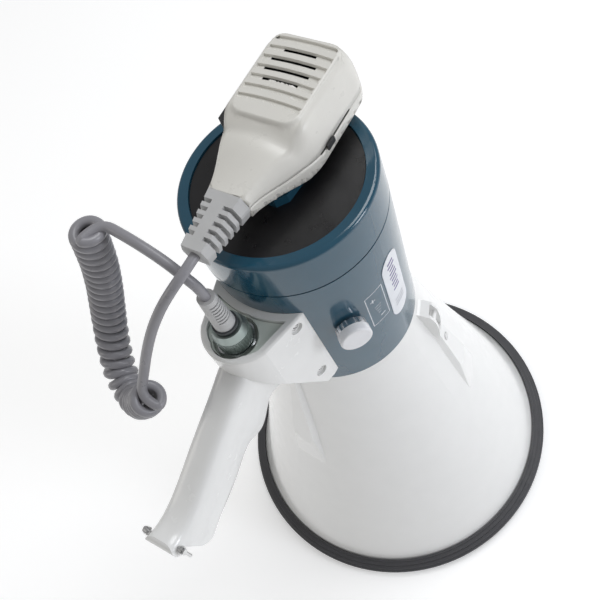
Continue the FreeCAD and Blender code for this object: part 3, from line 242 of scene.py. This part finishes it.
def build_materials():
    return {
        "horn_white": plastic("horn_white", (0.83, 0.83, 0.82), 0.17, coat=0.3, wave=0.05, dirt=0.985),
        "grip_white": plastic("grip_white", (0.80, 0.80, 0.79), 0.22, coat=0.2, wave=0.05, dirt=0.98),
        # The bumper ring gets a painted highlight along its edges.
        "ring_rubber": plastic(
            "ring_rubber", (0.055, 0.055, 0.06), 0.55, grain_mm=0.5, grain_depth=0.04, edge_highlight=1.6,
        ),
        "inner_grey": plastic("inner_grey", (0.55, 0.55, 0.53), 0.4, grain_mm=0.4, grain_depth=0.02),
        "diaphragm": plastic("diaphragm", (0.70, 0.55, 0.25), 0.35, wave=0.1),
        "copper": metal("copper", (0.8, 0.4, 0.2), 0.35, (1, 1, 8)),
        "plated_steel": metal("plated_steel", (0.66, 0.66, 0.64), 0.3, (1, 1, 6)),
        "ferrite": plastic("ferrite", (0.06, 0.06, 0.065), 0.7, grain_mm=0.3, grain_depth=0.03),
        "body_teal": plastic("body_teal", (0.014, 0.072, 0.118), 0.14, coat=0.3, wave=0.06, dirt=0.93),
        "disc_black": plastic("disc_black", (0.0085, 0.008, 0.009), 0.3, grain_mm=0.25, grain_depth=0.01),
        "board_green": plastic("board_green", (0.02, 0.18, 0.06), 0.35, wave=0.05),
        "fin_aluminium": metal("fin_aluminium", (0.7, 0.7, 0.72), 0.35, (1, 1, 5)),
        "part_black": plastic("part_black", (0.03, 0.03, 0.03), 0.45, grain_mm=0.3, grain_depth=0.02),
        "pillar_brass": metal("pillar_brass", (0.75, 0.56, 0.25), 0.3),
        "screw_steel": metal("screw_steel", (0.72, 0.72, 0.72), 0.22, (1, 1, 3)),
        "knob_chrome": metal("knob_chrome", (0.80, 0.80, 0.82), 0.12),
        "knob_grey": plastic("knob_grey", (0.76, 0.765, 0.79), 0.16, coat=0.4),
        "label_print": plastic("label_print", (0.74, 0.76, 0.80), 0.2),
        "print_violet": plastic("print_violet", (0.16, 0.12, 0.30), 0.25),
        "print_grey": plastic("print_grey", (0.30, 0.31, 0.36), 0.3),
        "cell_jacket": plastic("cell_jacket", (0.1, 0.1, 0.1), 0.25),
        "contact_strip": metal("contact_strip", (0.75, 0.68, 0.4), 0.3),
        "seal_rubber": plastic("seal_rubber", (0.012, 0.012, 0.012), 0.5),
        "panel_gloss": plastic("panel_gloss", (0.70, 0.76, 0.71), 0.05, coat=0.6, wave=0.05),
        "socket_metal": metal("socket_metal", (0.66, 0.67, 0.68), 0.2, (1, 1, 4)),
        "lock_ring": metal("lock_ring", (0.40, 0.46, 0.44), 0.35, (1, 1, 2)),
        "plug_dark": plastic("plug_dark", (0.05, 0.055, 0.06), 0.35),
        "relief_grey": plastic("relief_grey", (0.50, 0.50, 0.50), 0.42, grain_mm=0.3, grain_depth=0.015),
        "mic_grey": plastic(
            "mic_grey", (0.72, 0.705, 0.66), 0.30, grain_mm=0.35, grain_depth=0.03, dirt=0.97,
        ),
        "button_black": plastic("button_black", (0.02, 0.02, 0.022), 0.4, grain_mm=0.3, grain_depth=0.02),
        "stud_nylon": plastic("stud_nylon", (0.03, 0.03, 0.03), 0.4),
        "capsule_can": metal("capsule_can", (0.7, 0.7, 0.72), 0.3),
        "cord_grey": plastic("cord_grey", (0.27, 0.265, 0.285), 0.3, grain_mm=0.6, grain_depth=0.02),
    }


def paint_nodes(materials):
    slots = {row["node"]: row["material_slot"] for row in frame["record"]["subparts"]}
    for name, node in NODES.items():
        node.data.materials.clear()
        node.data.materials.append(materials[slots[name]])


# ---------------------------------------------------------------- mesh helpers
def new_piece(name, points, faces, material, body, smooth_angle=32):
    """A piece in metres from points in millimetres; it rides on a body and wears a slot's material."""
    mesh = bpy.data.meshes.new(name)
    mesh.from_pydata([tuple(v * MM for v in point) for point in points], [], faces)
    mesh.validate()
    mesh.polygons.foreach_set("use_smooth", [True] * len(mesh.polygons))
    mesh.set_sharp_from_angle(angle=math.radians(smooth_angle))
    mesh.materials.append(material)
    piece = bpy.data.objects.new(name, mesh)
    scene.collection.objects.link(piece)
    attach(piece, body)
    return piece


def apply_modifiers(piece):
    bpy.context.view_layer.update()
    mesh = bpy.data.meshes.new_from_object(piece.evaluated_get(bpy.context.evaluated_depsgraph_get()))
    piece.modifiers.clear()
    piece.data = mesh


def inside(point, polygon):
    x, y = point
    found = False
    for (x1, y1), (x2, y2) in zip(polygon, polygon[1:] + polygon[:1]):
        if (y1 > y) != (y2 > y) and x < (x2 - x1) * (y - y1) / (y2 - y1) + x1:
            found = not found
    return found


def ramp(value, low, high):
    """0 below low, 1 above high, smooth between."""
    share = min(1.0, max(0.0, (value - low) / (high - low)))
    return share * share * (3 - 2 * share)


# ---------------------------------------------------------------- microphone case
HEAD_TOP = 57.0
NECK_END = -29.0
SEAM_Z = 359.4
FACE_Z = 382.0
BACK_Z = 350.2
PANEL_HALF = 18.5
PANEL_LOW, PANEL_HIGH = 6.4, 54.6
PANEL_CORNER_LOW, PANEL_CORNER_HIGH = 7.5, 6.0
GROOVE_COUNT = 7
GROOVE_PITCH = 5.85
GROOVE_TOP = 50.8
GROOVE_HALF = 17.3
GROOVE_BOW = 0.9
GROOVE_DEPTH = 1.35
SLOTS = {1: (-9.6, 7.9), 2: (-13.2, 11.0), 3: (-13.6, 10.6), 4: (-11.2, 8.0)}
SLIDER_SPAN = (10.6, 38.2)


def shoulder(y, half, neck_half):
    """Half width of the case at a height along it: an S-curve from the head to the neck."""
    share = ramp(y, NECK_END - 3.0, 13.0)
    floor = ramp(NECK_END, NECK_END - 3.0, 13.0)
    return neck_half + (half - neck_half) * (share - floor) / (1 - floor)


def case_outline(half, neck_half, corner, top, step=0.8):
    """Closed outline, anticlockwise from the neck's left end: neck, right side, top, left side."""
    right = []
    y = NECK_END
    while y < top - corner:
        right.append((shoulder(y, half, neck_half), y))
        y += step
    turns = 14
    for i in range(turns + 1):
        a = math.radians(90 * i / turns)
        right.append((half - corner + corner * math.cos(a), top - corner + corner * math.sin(a)))
    crown = half - corner
    across = [(crown - 2 * crown * i / 20, top) for i in range(1, 20)]
    left = [(-x, y) for x, y in reversed(right)]
    foot = [(-neck_half + 2 * neck_half * i / 14, NECK_END) for i in range(1, 14)]
    return right + across + left + foot


def seam_height(y):
    return SEAM_Z + 2.4 * ramp(y, 14.0, -6.0) + 3.6 * ramp(y, -4.0, -31.0)


def panel_distance(x, y):
    """Distance outside the raised face panel's rounded outline, negative inside."""
    corner = PANEL_CORNER_LOW if y < 30 else PANEL_CORNER_HIGH
    middle = (PANEL_LOW + PANEL_HIGH) / 2
    dx = abs(x) - (PANEL_HALF - corner)
    dy = abs(y - middle) - ((PANEL_HIGH - PANEL_LOW) / 2 - corner)
    return math.hypot(max(dx, 0), max(dy, 0)) + min(max(dx, dy), 0) - corner


def front_height(x, y):
    """Height of the front: a neck that swells below the panel, a soft valley, the raised panel."""
    head = FACE_Z - 1.0 - 0.0022 * x * x
    neck = FACE_Z - 4.6 - 5.0 * ramp(y, 0.0, -31.0) - 0.011 * x * x
    valley = -0.5 * math.exp(-((y - 1.0) / 3.4) ** 2)
    low = neck + (head - neck) * ramp(y, -1.5, 9.5) + valley
    rise = 1 - ramp(panel_distance(x, y), -0.9, 0.9)
    return low + (FACE_Z - 0.02 - low) * rise


def back_height(x, y):
    return BACK_Z + 0.02 + 4.4 * ramp(y, 4.0, -14.0) + 4.2 * ramp(y, -8.0, -32.0)


def loop_edges(outline):
    """Edges that close a loop of points, as pairs of indices."""
    count = len(outline)
    return [(i, (i + 1) % count) for i in range(count)]


def panel_loop(distance):
    """Points at a distance from the panel's outline."""
    points = []
    for side_x, side_y, start in ((1, -1, 270), (1, 1, 0), (-1, 1, 90), (-1, -1, 180)):
        corner = PANEL_CORNER_LOW if side_y < 0 else PANEL_CORNER_HIGH
        cx = side_x * (PANEL_HALF - corner)
        cy = PANEL_LOW + corner if side_y < 0 else PANEL_HIGH - corner
        for i in range(13):
            a = math.radians(start + 90 * i / 12)
            r = corner + distance
            points.append((cx + r * math.cos(a), cy + r * math.sin(a)))
    return points


def bowed(x, y):
    return y + GROOVE_BOW * (1 - (x / GROOVE_HALF) ** 2)


def strip_loop(x0, x1, high, low, count=16):
    """Closed loop between two bowed lines."""
    upper = [(x1 + (x0 - x1) * i / count, bowed(x1 + (x0 - x1) * i / count, high)) for i in range(count + 1)]
    lower = [(x0 + (x1 - x0) * i / count, bowed(x0 + (x1 - x0) * i / count, low)) for i in range(count + 1)]
    return upper + lower


def fill_region(border, loops, grid, holes):
    """Triangles over a region, following the loops; holes stay open."""
    points = list(border)
    edges = loop_edges(border)
    for loop in loops:
        base = len(points)
        points += loop
        edges += [(a + base, b + base) for a, b in loop_edges(loop)]
    points += grid
    flat = [Vector(point) for point in points]
    verts, _, faces, *_ = geometry.delaunay_2d_cdt(flat, edges, [], 0, 1e-4)
    kept = []
    for face in faces:
        middle = sum((verts[i] for i in face), Vector((0, 0))) / len(face)
        if inside(middle, border) and not any(inside(middle, hole) for hole in holes):
            kept.append(face)
    return verts, kept


def near_or_inside(point, loop):
    """True inside a loop or on its line."""
    if inside(point, loop):
        return True
    for (x1, y1), (x2, y2) in zip(loop, loop[1:] + loop[:1]):
        length = math.hypot(x2 - x1, y2 - y1)
        if length < 1e-6:
            continue
        along = ((point.x - x1) * (x2 - x1) + (point.y - y1) * (y2 - y1)) / length
        away = abs((point.x - x1) * (y2 - y1) - (point.y - y1) * (x2 - x1)) / length
        if away < 0.01 and -0.01 <= along <= length + 0.01:
            return True
    return False


def case_half(name, front, material, node):
    """One half of the case as a thin wall: rings up the side, then the face or the back."""
    count = 12
    depth = 5.3 if front else 3.0
    power = 2.3 if front else 2.6
    heights = front_height if front else back_height
    rings = []
    sign = 1 if front else -1
    for k in range(count + 1):
        a = math.radians(90 * k / count)
        inset = depth * (1 - math.cos(a) ** (2 / power))
        share = math.sin(a) ** (2 / power)
        outline = case_outline(24.1 - inset, 11.0 - inset * 0.45, 10.0 - inset * 0.4, HEAD_TOP - 0.7 * inset)
        ring = []
        for x, y in outline:
            gap = 0.16
            if x > 5 and SLIDER_SPAN[0] < y < SLIDER_SPAN[1]:
                gap = 0.85
            start = seam_height(y) + sign * gap
            z = start + (heights(x, y) - start) * share
            nick = ((y + 300.4) % 6.2) < 1.5
            if not front and share > 0.5 and nick and y < 50:
                x -= math.copysign(1.5, x)
            ring.append((x, y, z))
        rings.append(ring)
    points = [point for ring in rings for point in ring]
    size = len(rings[0])
    faces = []
    for k in range(count):
        for i in range(size):
            j = (i + 1) % size
            quad = (k * size + i, k * size + j, (k + 1) * size + j, (k + 1) * size + i)
            faces.append(quad if front else tuple(reversed(quad)))
    border = [(x, y) for x, y, _ in rings[-1]]
    loops, holes, floors = [], [], []
    if front:
        loops += [panel_loop(d) for d in (-0.9, -0.45, 0.0, 0.45)]
        for i in range(GROOVE_COUNT):
            y = GROOVE_TOP - GROOVE_PITCH * i
            loops.append(strip_loop(-GROOVE_HALF, GROOVE_HALF, y + 0.75, y - 2.3))
            floor = strip_loop(-GROOVE_HALF + 0.25, GROOVE_HALF - 0.9, y + 0.62, y - 1.15)
            loops.append(floor)
            floors.append(floor)
            if i in SLOTS:
                slot = strip_loop(SLOTS[i][0], SLOTS[i][1], y + 0.5, y - 1.05)
                loops.append(slot)
                holes.append(slot)
    grid = [(x * 1.5, y * 1.5) for x in range(-16, 17) for y in range(-20, 39)]
    grid = [point for point in grid if inside(point, border) and not any(inside(point, f) for f in floors)]
    verts, fill = fill_region(border, loops, grid, holes)
    base = len(points)
    for vert in verts:
        z = heights(vert.x, vert.y)
        for floor in floors:
            low_y = min(y for _, y in floor) - 0.02
            high_y = max(y for _, y in floor) + 0.02
            if low_y <= vert.y <= high_y and near_or_inside(vert, floor):
                z -= GROOVE_DEPTH
                break
        points.append((vert.x, vert.y, z))
    for face in fill:
        face = [base + i for i in face]
        faces.append(tuple(face) if front else tuple(reversed(face)))
    piece = new_piece(name, points, faces, material, "microphone", 38)
    weld = piece.modifiers.new("weld", "WELD")
    weld.merge_threshold = 0.01 * MM
    wall = piece.modifiers.new("wall", "SOLIDIFY")
    wall.thickness = 0.6 * MM
    wall.offset = -1
    wall.use_even_offset = False
    apply_modifiers(piece)
    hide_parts(node)
    return piece


def slot_shade_sheet(material):
    """Thin dark sheet behind the face slots: painted shade that keeps the slots dark."""
    half, low, high, z0, z1 = 15.5, 24.0, 50.0, 377.9, 378.3
    corners = ((-half, low), (half, low), (half, high), (-half, high))
    points = [(x, y, z) for z in (z0, z1) for x, y in corners]
    faces = [(3, 2, 1, 0), (4, 5, 6, 7), (0, 1, 5, 4), (1, 2, 6, 5), (2, 3, 7, 6), (3, 0, 4, 7)]
    new_piece("face_slot_shade_sheet", points, faces, material, "microphone")


# ---------------------------------------------------------------- screws
SCREW_Y = -49.2
SCREW_HEIGHTS = (243.3, 294.6)
SCREW_SEAT_DEPTH = 2.5
SCREW_HEAD_R, SCREW_HEAD_HEIGHT = 2.5, 1.6


def pan_head(name, at, axis, radius, height, material, body):
    """Domed head with a cross recess; axis points out of the wall, at is the middle of its seat."""
    turns, rows = 40, 8
    axis = Vector(axis).normalized()
    side = axis.orthogonal().normalized()
    other = axis.cross(side)
    points, faces = [], []
    profile = [(radius * 0.96, 0.0), (radius, 0.12 * height)]
    for k in range(1, rows + 1):
        a = math.radians(90 * k / rows)
        across = radius * math.cos(a) ** 0.8 if k < rows else 0.02
        profile.append((across, height * (0.12 + 0.88 * math.sin(a))))
    for r, h in profile:
        for i in range(turns):
            a = 2 * math.pi * i / turns
            points.append(Vector(at) + axis * h + (side * math.cos(a) + other * math.sin(a)) * r)
    for k in range(len(profile) - 1):
        for i in range(turns):
            j = (i + 1) % turns
            faces.append((k * turns + i, k * turns + j, (k + 1) * turns + j, (k + 1) * turns + i))
    faces.append(tuple(reversed(range(turns))))
    faces.append(tuple((len(profile) - 1) * turns + i for i in range(turns)))
    head = new_piece(name, points, faces, material, body, 40)
    for index, (arm, width) in enumerate(((radius * 0.62, radius * 0.14), (radius * 0.14, radius * 0.62))):
        corners = [Vector(at) + side * x + other * y + axis * z for z in (height * 0.35, height * 1.5)
                   for x, y in ((-arm, -width), (arm, -width), (arm, width), (-arm, width))]
        box_faces = [(3, 2, 1, 0), (4, 5, 6, 7), (0, 1, 5, 4), (1, 2, 6, 5), (2, 3, 7, 6), (3, 0, 4, 7)]
        cutter = new_piece("cutter", corners, box_faces, material, body)
        cut = head.modifiers.new("cross_%d" % index, "BOOLEAN")
        cut.object = cutter
        cut.operation = "DIFFERENCE"
        cut.solver = "EXACT"
        apply_modifiers(head)
        bpy.data.objects.remove(cutter)
    return head


def screw_heads(material):
    """The bracket's four screws, square to its slanted side walls."""
    wall, end = Vector((26.4, -44.0, 0)), Vector((20.0, -68.5, 0))
    along = (wall - end).normalized()
    share = (SCREW_Y - wall.y) / along.y
    number = 0
    for z in SCREW_HEIGHTS:
        for side in (1, -1):
            outward = Vector((side * along.y, -along.x, 0))
            on_wall = Vector((side * (wall.x + along.x * share), SCREW_Y, z))
            number += 1
            seat = on_wall - outward * SCREW_SEAT_DEPTH
            head = pan_head("bracket_screw_%d" % number, seat, outward, SCREW_HEAD_R, SCREW_HEAD_HEIGHT, material,
                            "megaphone")
            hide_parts("bracket_screws")


# ---------------------------------------------------------------- printed marks
BODY_FRONT, BODY_REAR = (47.4, 215.4), (50.3, 318.8)


def on_body(azimuth, z, lift=0.06):
    """Point just over the body's surface; the azimuth counts from the grip side to the knob's."""
    share = (z - BODY_FRONT[1]) / (BODY_REAR[1] - BODY_FRONT[1])
    r = BODY_FRONT[0] + (BODY_REAR[0] - BODY_FRONT[0]) * share + lift
    a = math.radians(azimuth)
    return Vector((r * math.sin(a), -r * math.cos(a), z))


def printed_line(name, ends, width, material, lift=0.02):
    """Painted stroke on the body between (azimuth, z) ends."""
    (a0, z0), (a1, z1) = ends
    degrees_per_mm = math.degrees(1 / 49.0)
    du, dz = (a1 - a0) / degrees_per_mm, z1 - z0
    length = math.hypot(du, dz)
    across = (-dz / length * degrees_per_mm * width / 2, du / length * width / 2)
    points, faces = [], []
    steps = max(2, int(length / 1.5))
    for i in range(steps + 1):
        a, z = a0 + (a1 - a0) * i / steps, z0 + (z1 - z0) * i / steps
        for height in (lift, lift + 0.05):
            for side in (-1, 1):
                points.append(on_body(a + side * across[0], z + side * across[1], height))
    for i in range(steps):
        b, n = 4 * i, 4 * (i + 1)
        faces += [(b + 2, b + 3, n + 3, n + 2), (b + 1, b, n, n + 1)]
        faces += [(b, b + 2, n + 2, n), (b + 3, b + 1, n + 1, n + 3)]
    faces += [(0, 1, 3, 2), (4 * steps + 2, 4 * steps + 3, 4 * steps + 1, 4 * steps)]
    return new_piece(name, points, faces, material, "megaphone")


def volume_legend(material):
    """Box with a plus and a minus sign beside the knob."""
    left, right, low, high = 67.0, 81.0, 256.0, 286.0
    corners = [(left, low), (right, low), (right, high), (left, high)]
    for i in range(4):
        printed_line("legend_line_%d" % i, (corners[i], corners[(i + 1) % 4]), 0.45, material)
    middle = (left + right) / 2
    printed_line("legend_plus_a", ((middle - 4.4, 279.0), (middle - 0.4, 279.0)), 0.55, material)
    printed_line("legend_plus_b", ((middle - 2.4, 277.2), (middle - 2.4, 280.8)), 0.55, material)
    printed_line("legend_minus", ((middle + 0.2, 260.6), (middle + 4.0, 260.6)), 0.7, material)
    for number, z in enumerate((264.6, 267.0, 269.4, 271.8)):
        reach = 1.0 + 0.55 * number
        printed_line("legend_step_%d" % number, ((middle - reach, z), (middle + reach, z)), 0.3, material)


def label_marks(white, violet):
    """Plain bands on the sticker: a violet column of short bars, a pale panel at its lower end."""
    for number in range(9):
        z = 292.0 - 3.1 * number
        reach = (3.2, 4.0, 2.6, 3.6, 4.2, 3.0, 3.8, 2.8, 3.4)[number]
        printed_line("label_bar_%d" % number, ((93.0 - reach, z), (93.0 + reach, z)), 1.3, violet, 0.37)
    for number in range(3):
        z = 257.5 - 2.6 * number
        printed_line("label_rule_%d" % number, ((88.0, z), (98.0, z)), 0.5, white, 0.37)


def soften(names, width_mm, angle=35):
    """Rounds the edges of CAD pieces a little inwards."""
    for name in names:
        bevel = NODES[name].modifiers.new("soft_edges", "BEVEL")
        bevel.width = width_mm * MM
        bevel.segments = 2
        bevel.limit_method = "ANGLE"
        bevel.angle_limit = math.radians(angle)
        bevel.harden_normals = True


# ---------------------------------------------------------------- curly cord
CORD_R = 2.6 * MM
HELIX_R = 6.8 * MM
PLUG_ROUTE = [
    (0, -66.5, 341), (0, -66.5, 349), (-4.6, -66.8, 357.5), (-13, -65.8, 363.8), (-24, -64.5, 367.2),
    (-37, -63.2, 369.4), (-49, -62.2, 370.2),
]
COIL_ROUTE = [
    (-54, -68, 371), (-58.5, -70.5, 349), (-65, -75.5, 325), (-70, -84, 301.5), (-69.5, -94, 284),
    (-63.5, -104.5, 271.5), (-50.5, -111.5, 268.5), (-36.5, -113.5, 280.5), (-25, -112, 298),
]
MIC_ROUTE = [
    (-29.5, -112.5, 298.5), (-26, -105, 311), (-21.5, -98, 325.5), (-15.5, -90.5, 340.5), (-9, -83, 353),
    (-3, -75.6, 362), (0, -67, 365.5), (0, -58.5, 365.5),
]
TIGHT_PITCH = 5.3 * MM
LOOSE_PITCH = 6.5 * MM
POINTS_PER_TURN = 14
HELIX_START = math.radians(90)


def spline_curve(name, points):
    """Open NURBS curve of order 3 with these control points, which reaches its first and last point."""
    curve = bpy.data.curves.new(name, "CURVE")
    curve.dimensions = "3D"
    spline = curve.splines.new("NURBS")
    spline.points.add(len(points) - 1)
    for target, point in zip(spline.points, points):
        target.co = (*point, 1)
    spline.order_u = 3
    spline.use_endpoint_u = True
    spline.resolution_u = 6
    return curve


def curve_points(curve):
    """Points along a curve with no bevel, in order."""
    holder = bpy.data.objects.new("line_holder", curve)
    scene.collection.objects.link(holder)
    bpy.context.view_layer.update()
    evaluated = holder.evaluated_get(bpy.context.evaluated_depsgraph_get())
    mesh = bpy.data.meshes.new_from_object(evaluated)
    points = [v.co.copy() for v in mesh.vertices]
    bpy.data.objects.remove(holder)
    bpy.data.meshes.remove(mesh)
    return points


def metres(route):
    return [Vector(point) * MM for point in route]


def walk(points, step):
    """Points a fixed step apart along a polyline, with the direction there."""
    found, carry = [], 0.0
    for a, b in zip(points, points[1:]):
        length = (b - a).length
        if length < 1e-9:
            continue
        while carry <= length:
            found.append((a.lerp(b, carry / length), (b - a).normalized()))
            carry += step
        carry -= length
    return found


def helix_points():
    """Left-handed turns round the coil's centre line: tight on the upper leg, looser below."""
    step = 0.1 * MM
    line = walk(curve_points(spline_curve("coil_line", metres(COIL_ROUTE))), step)
    length = len(line) * step
    side = Vector((1, 0, 0))
    angle, found, turned = HELIX_START, [], 1e9
    for index, (point, along) in enumerate(line):
        side = (side - along * side.dot(along)).normalized()
        other = along.cross(side)
        share = index * step / length
        pitch = TIGHT_PITCH if share < 0.45 else LOOSE_PITCH
        growth = 2 * math.pi * step / pitch
        angle -= growth
        turned += growth
        if turned >= 2 * math.pi / POINTS_PER_TURN:
            turned = 0.0
            found.append(point + (side * math.cos(angle) + other * math.sin(angle)) * HELIX_R)
    return found


def make_cord(material):
    points = metres(PLUG_ROUTE) + helix_points() + metres(MIC_ROUTE)
    curve = spline_curve("curly_cord", points)
    path = curve_points(curve)
    curve.bevel_depth = CORD_R
    curve.bevel_resolution = 3
    curve.use_fill_caps = True
    holder = bpy.data.objects.new("cord_holder", curve)
    scene.collection.objects.link(holder)
    bpy.context.view_layer.update()
    evaluated = holder.evaluated_get(bpy.context.evaluated_depsgraph_get())
    mesh = bpy.data.meshes.new_from_object(evaluated)
    bpy.data.objects.remove(holder)
    for polygon in mesh.polygons:
        polygon.use_smooth = True
    cord = bpy.data.objects.new("curly_cord", mesh)
    scene.collection.objects.link(cord)
    mesh.materials.clear()
    mesh.materials.append(material)
    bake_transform(cord)
    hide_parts("cord_plug_side", "cord_coil", "cord_mic_side")


make_camera()
make_stage()
MATERIALS = build_materials()
paint_nodes(MATERIALS)
make_cord(MATERIALS["cord_grey"])
case_half("microphone_front", True, MATERIALS["mic_grey"], "mic_front_shell")
case_half("microphone_rear", False, MATERIALS["mic_grey"], "mic_rear_shell")
# A dark sheet under the face slots stands in for the shade inside them.
slot_shade_sheet(MATERIALS["button_black"])
screw_heads(MATERIALS["screw_steel"])
volume_legend(MATERIALS["label_print"])
label_marks(MATERIALS["print_grey"], MATERIALS["print_violet"])
soften(("grip_body", "knob_cap", "mic_relief", "mic_hanger", "ptt_button", "plug_locking_ring"), 0.35)
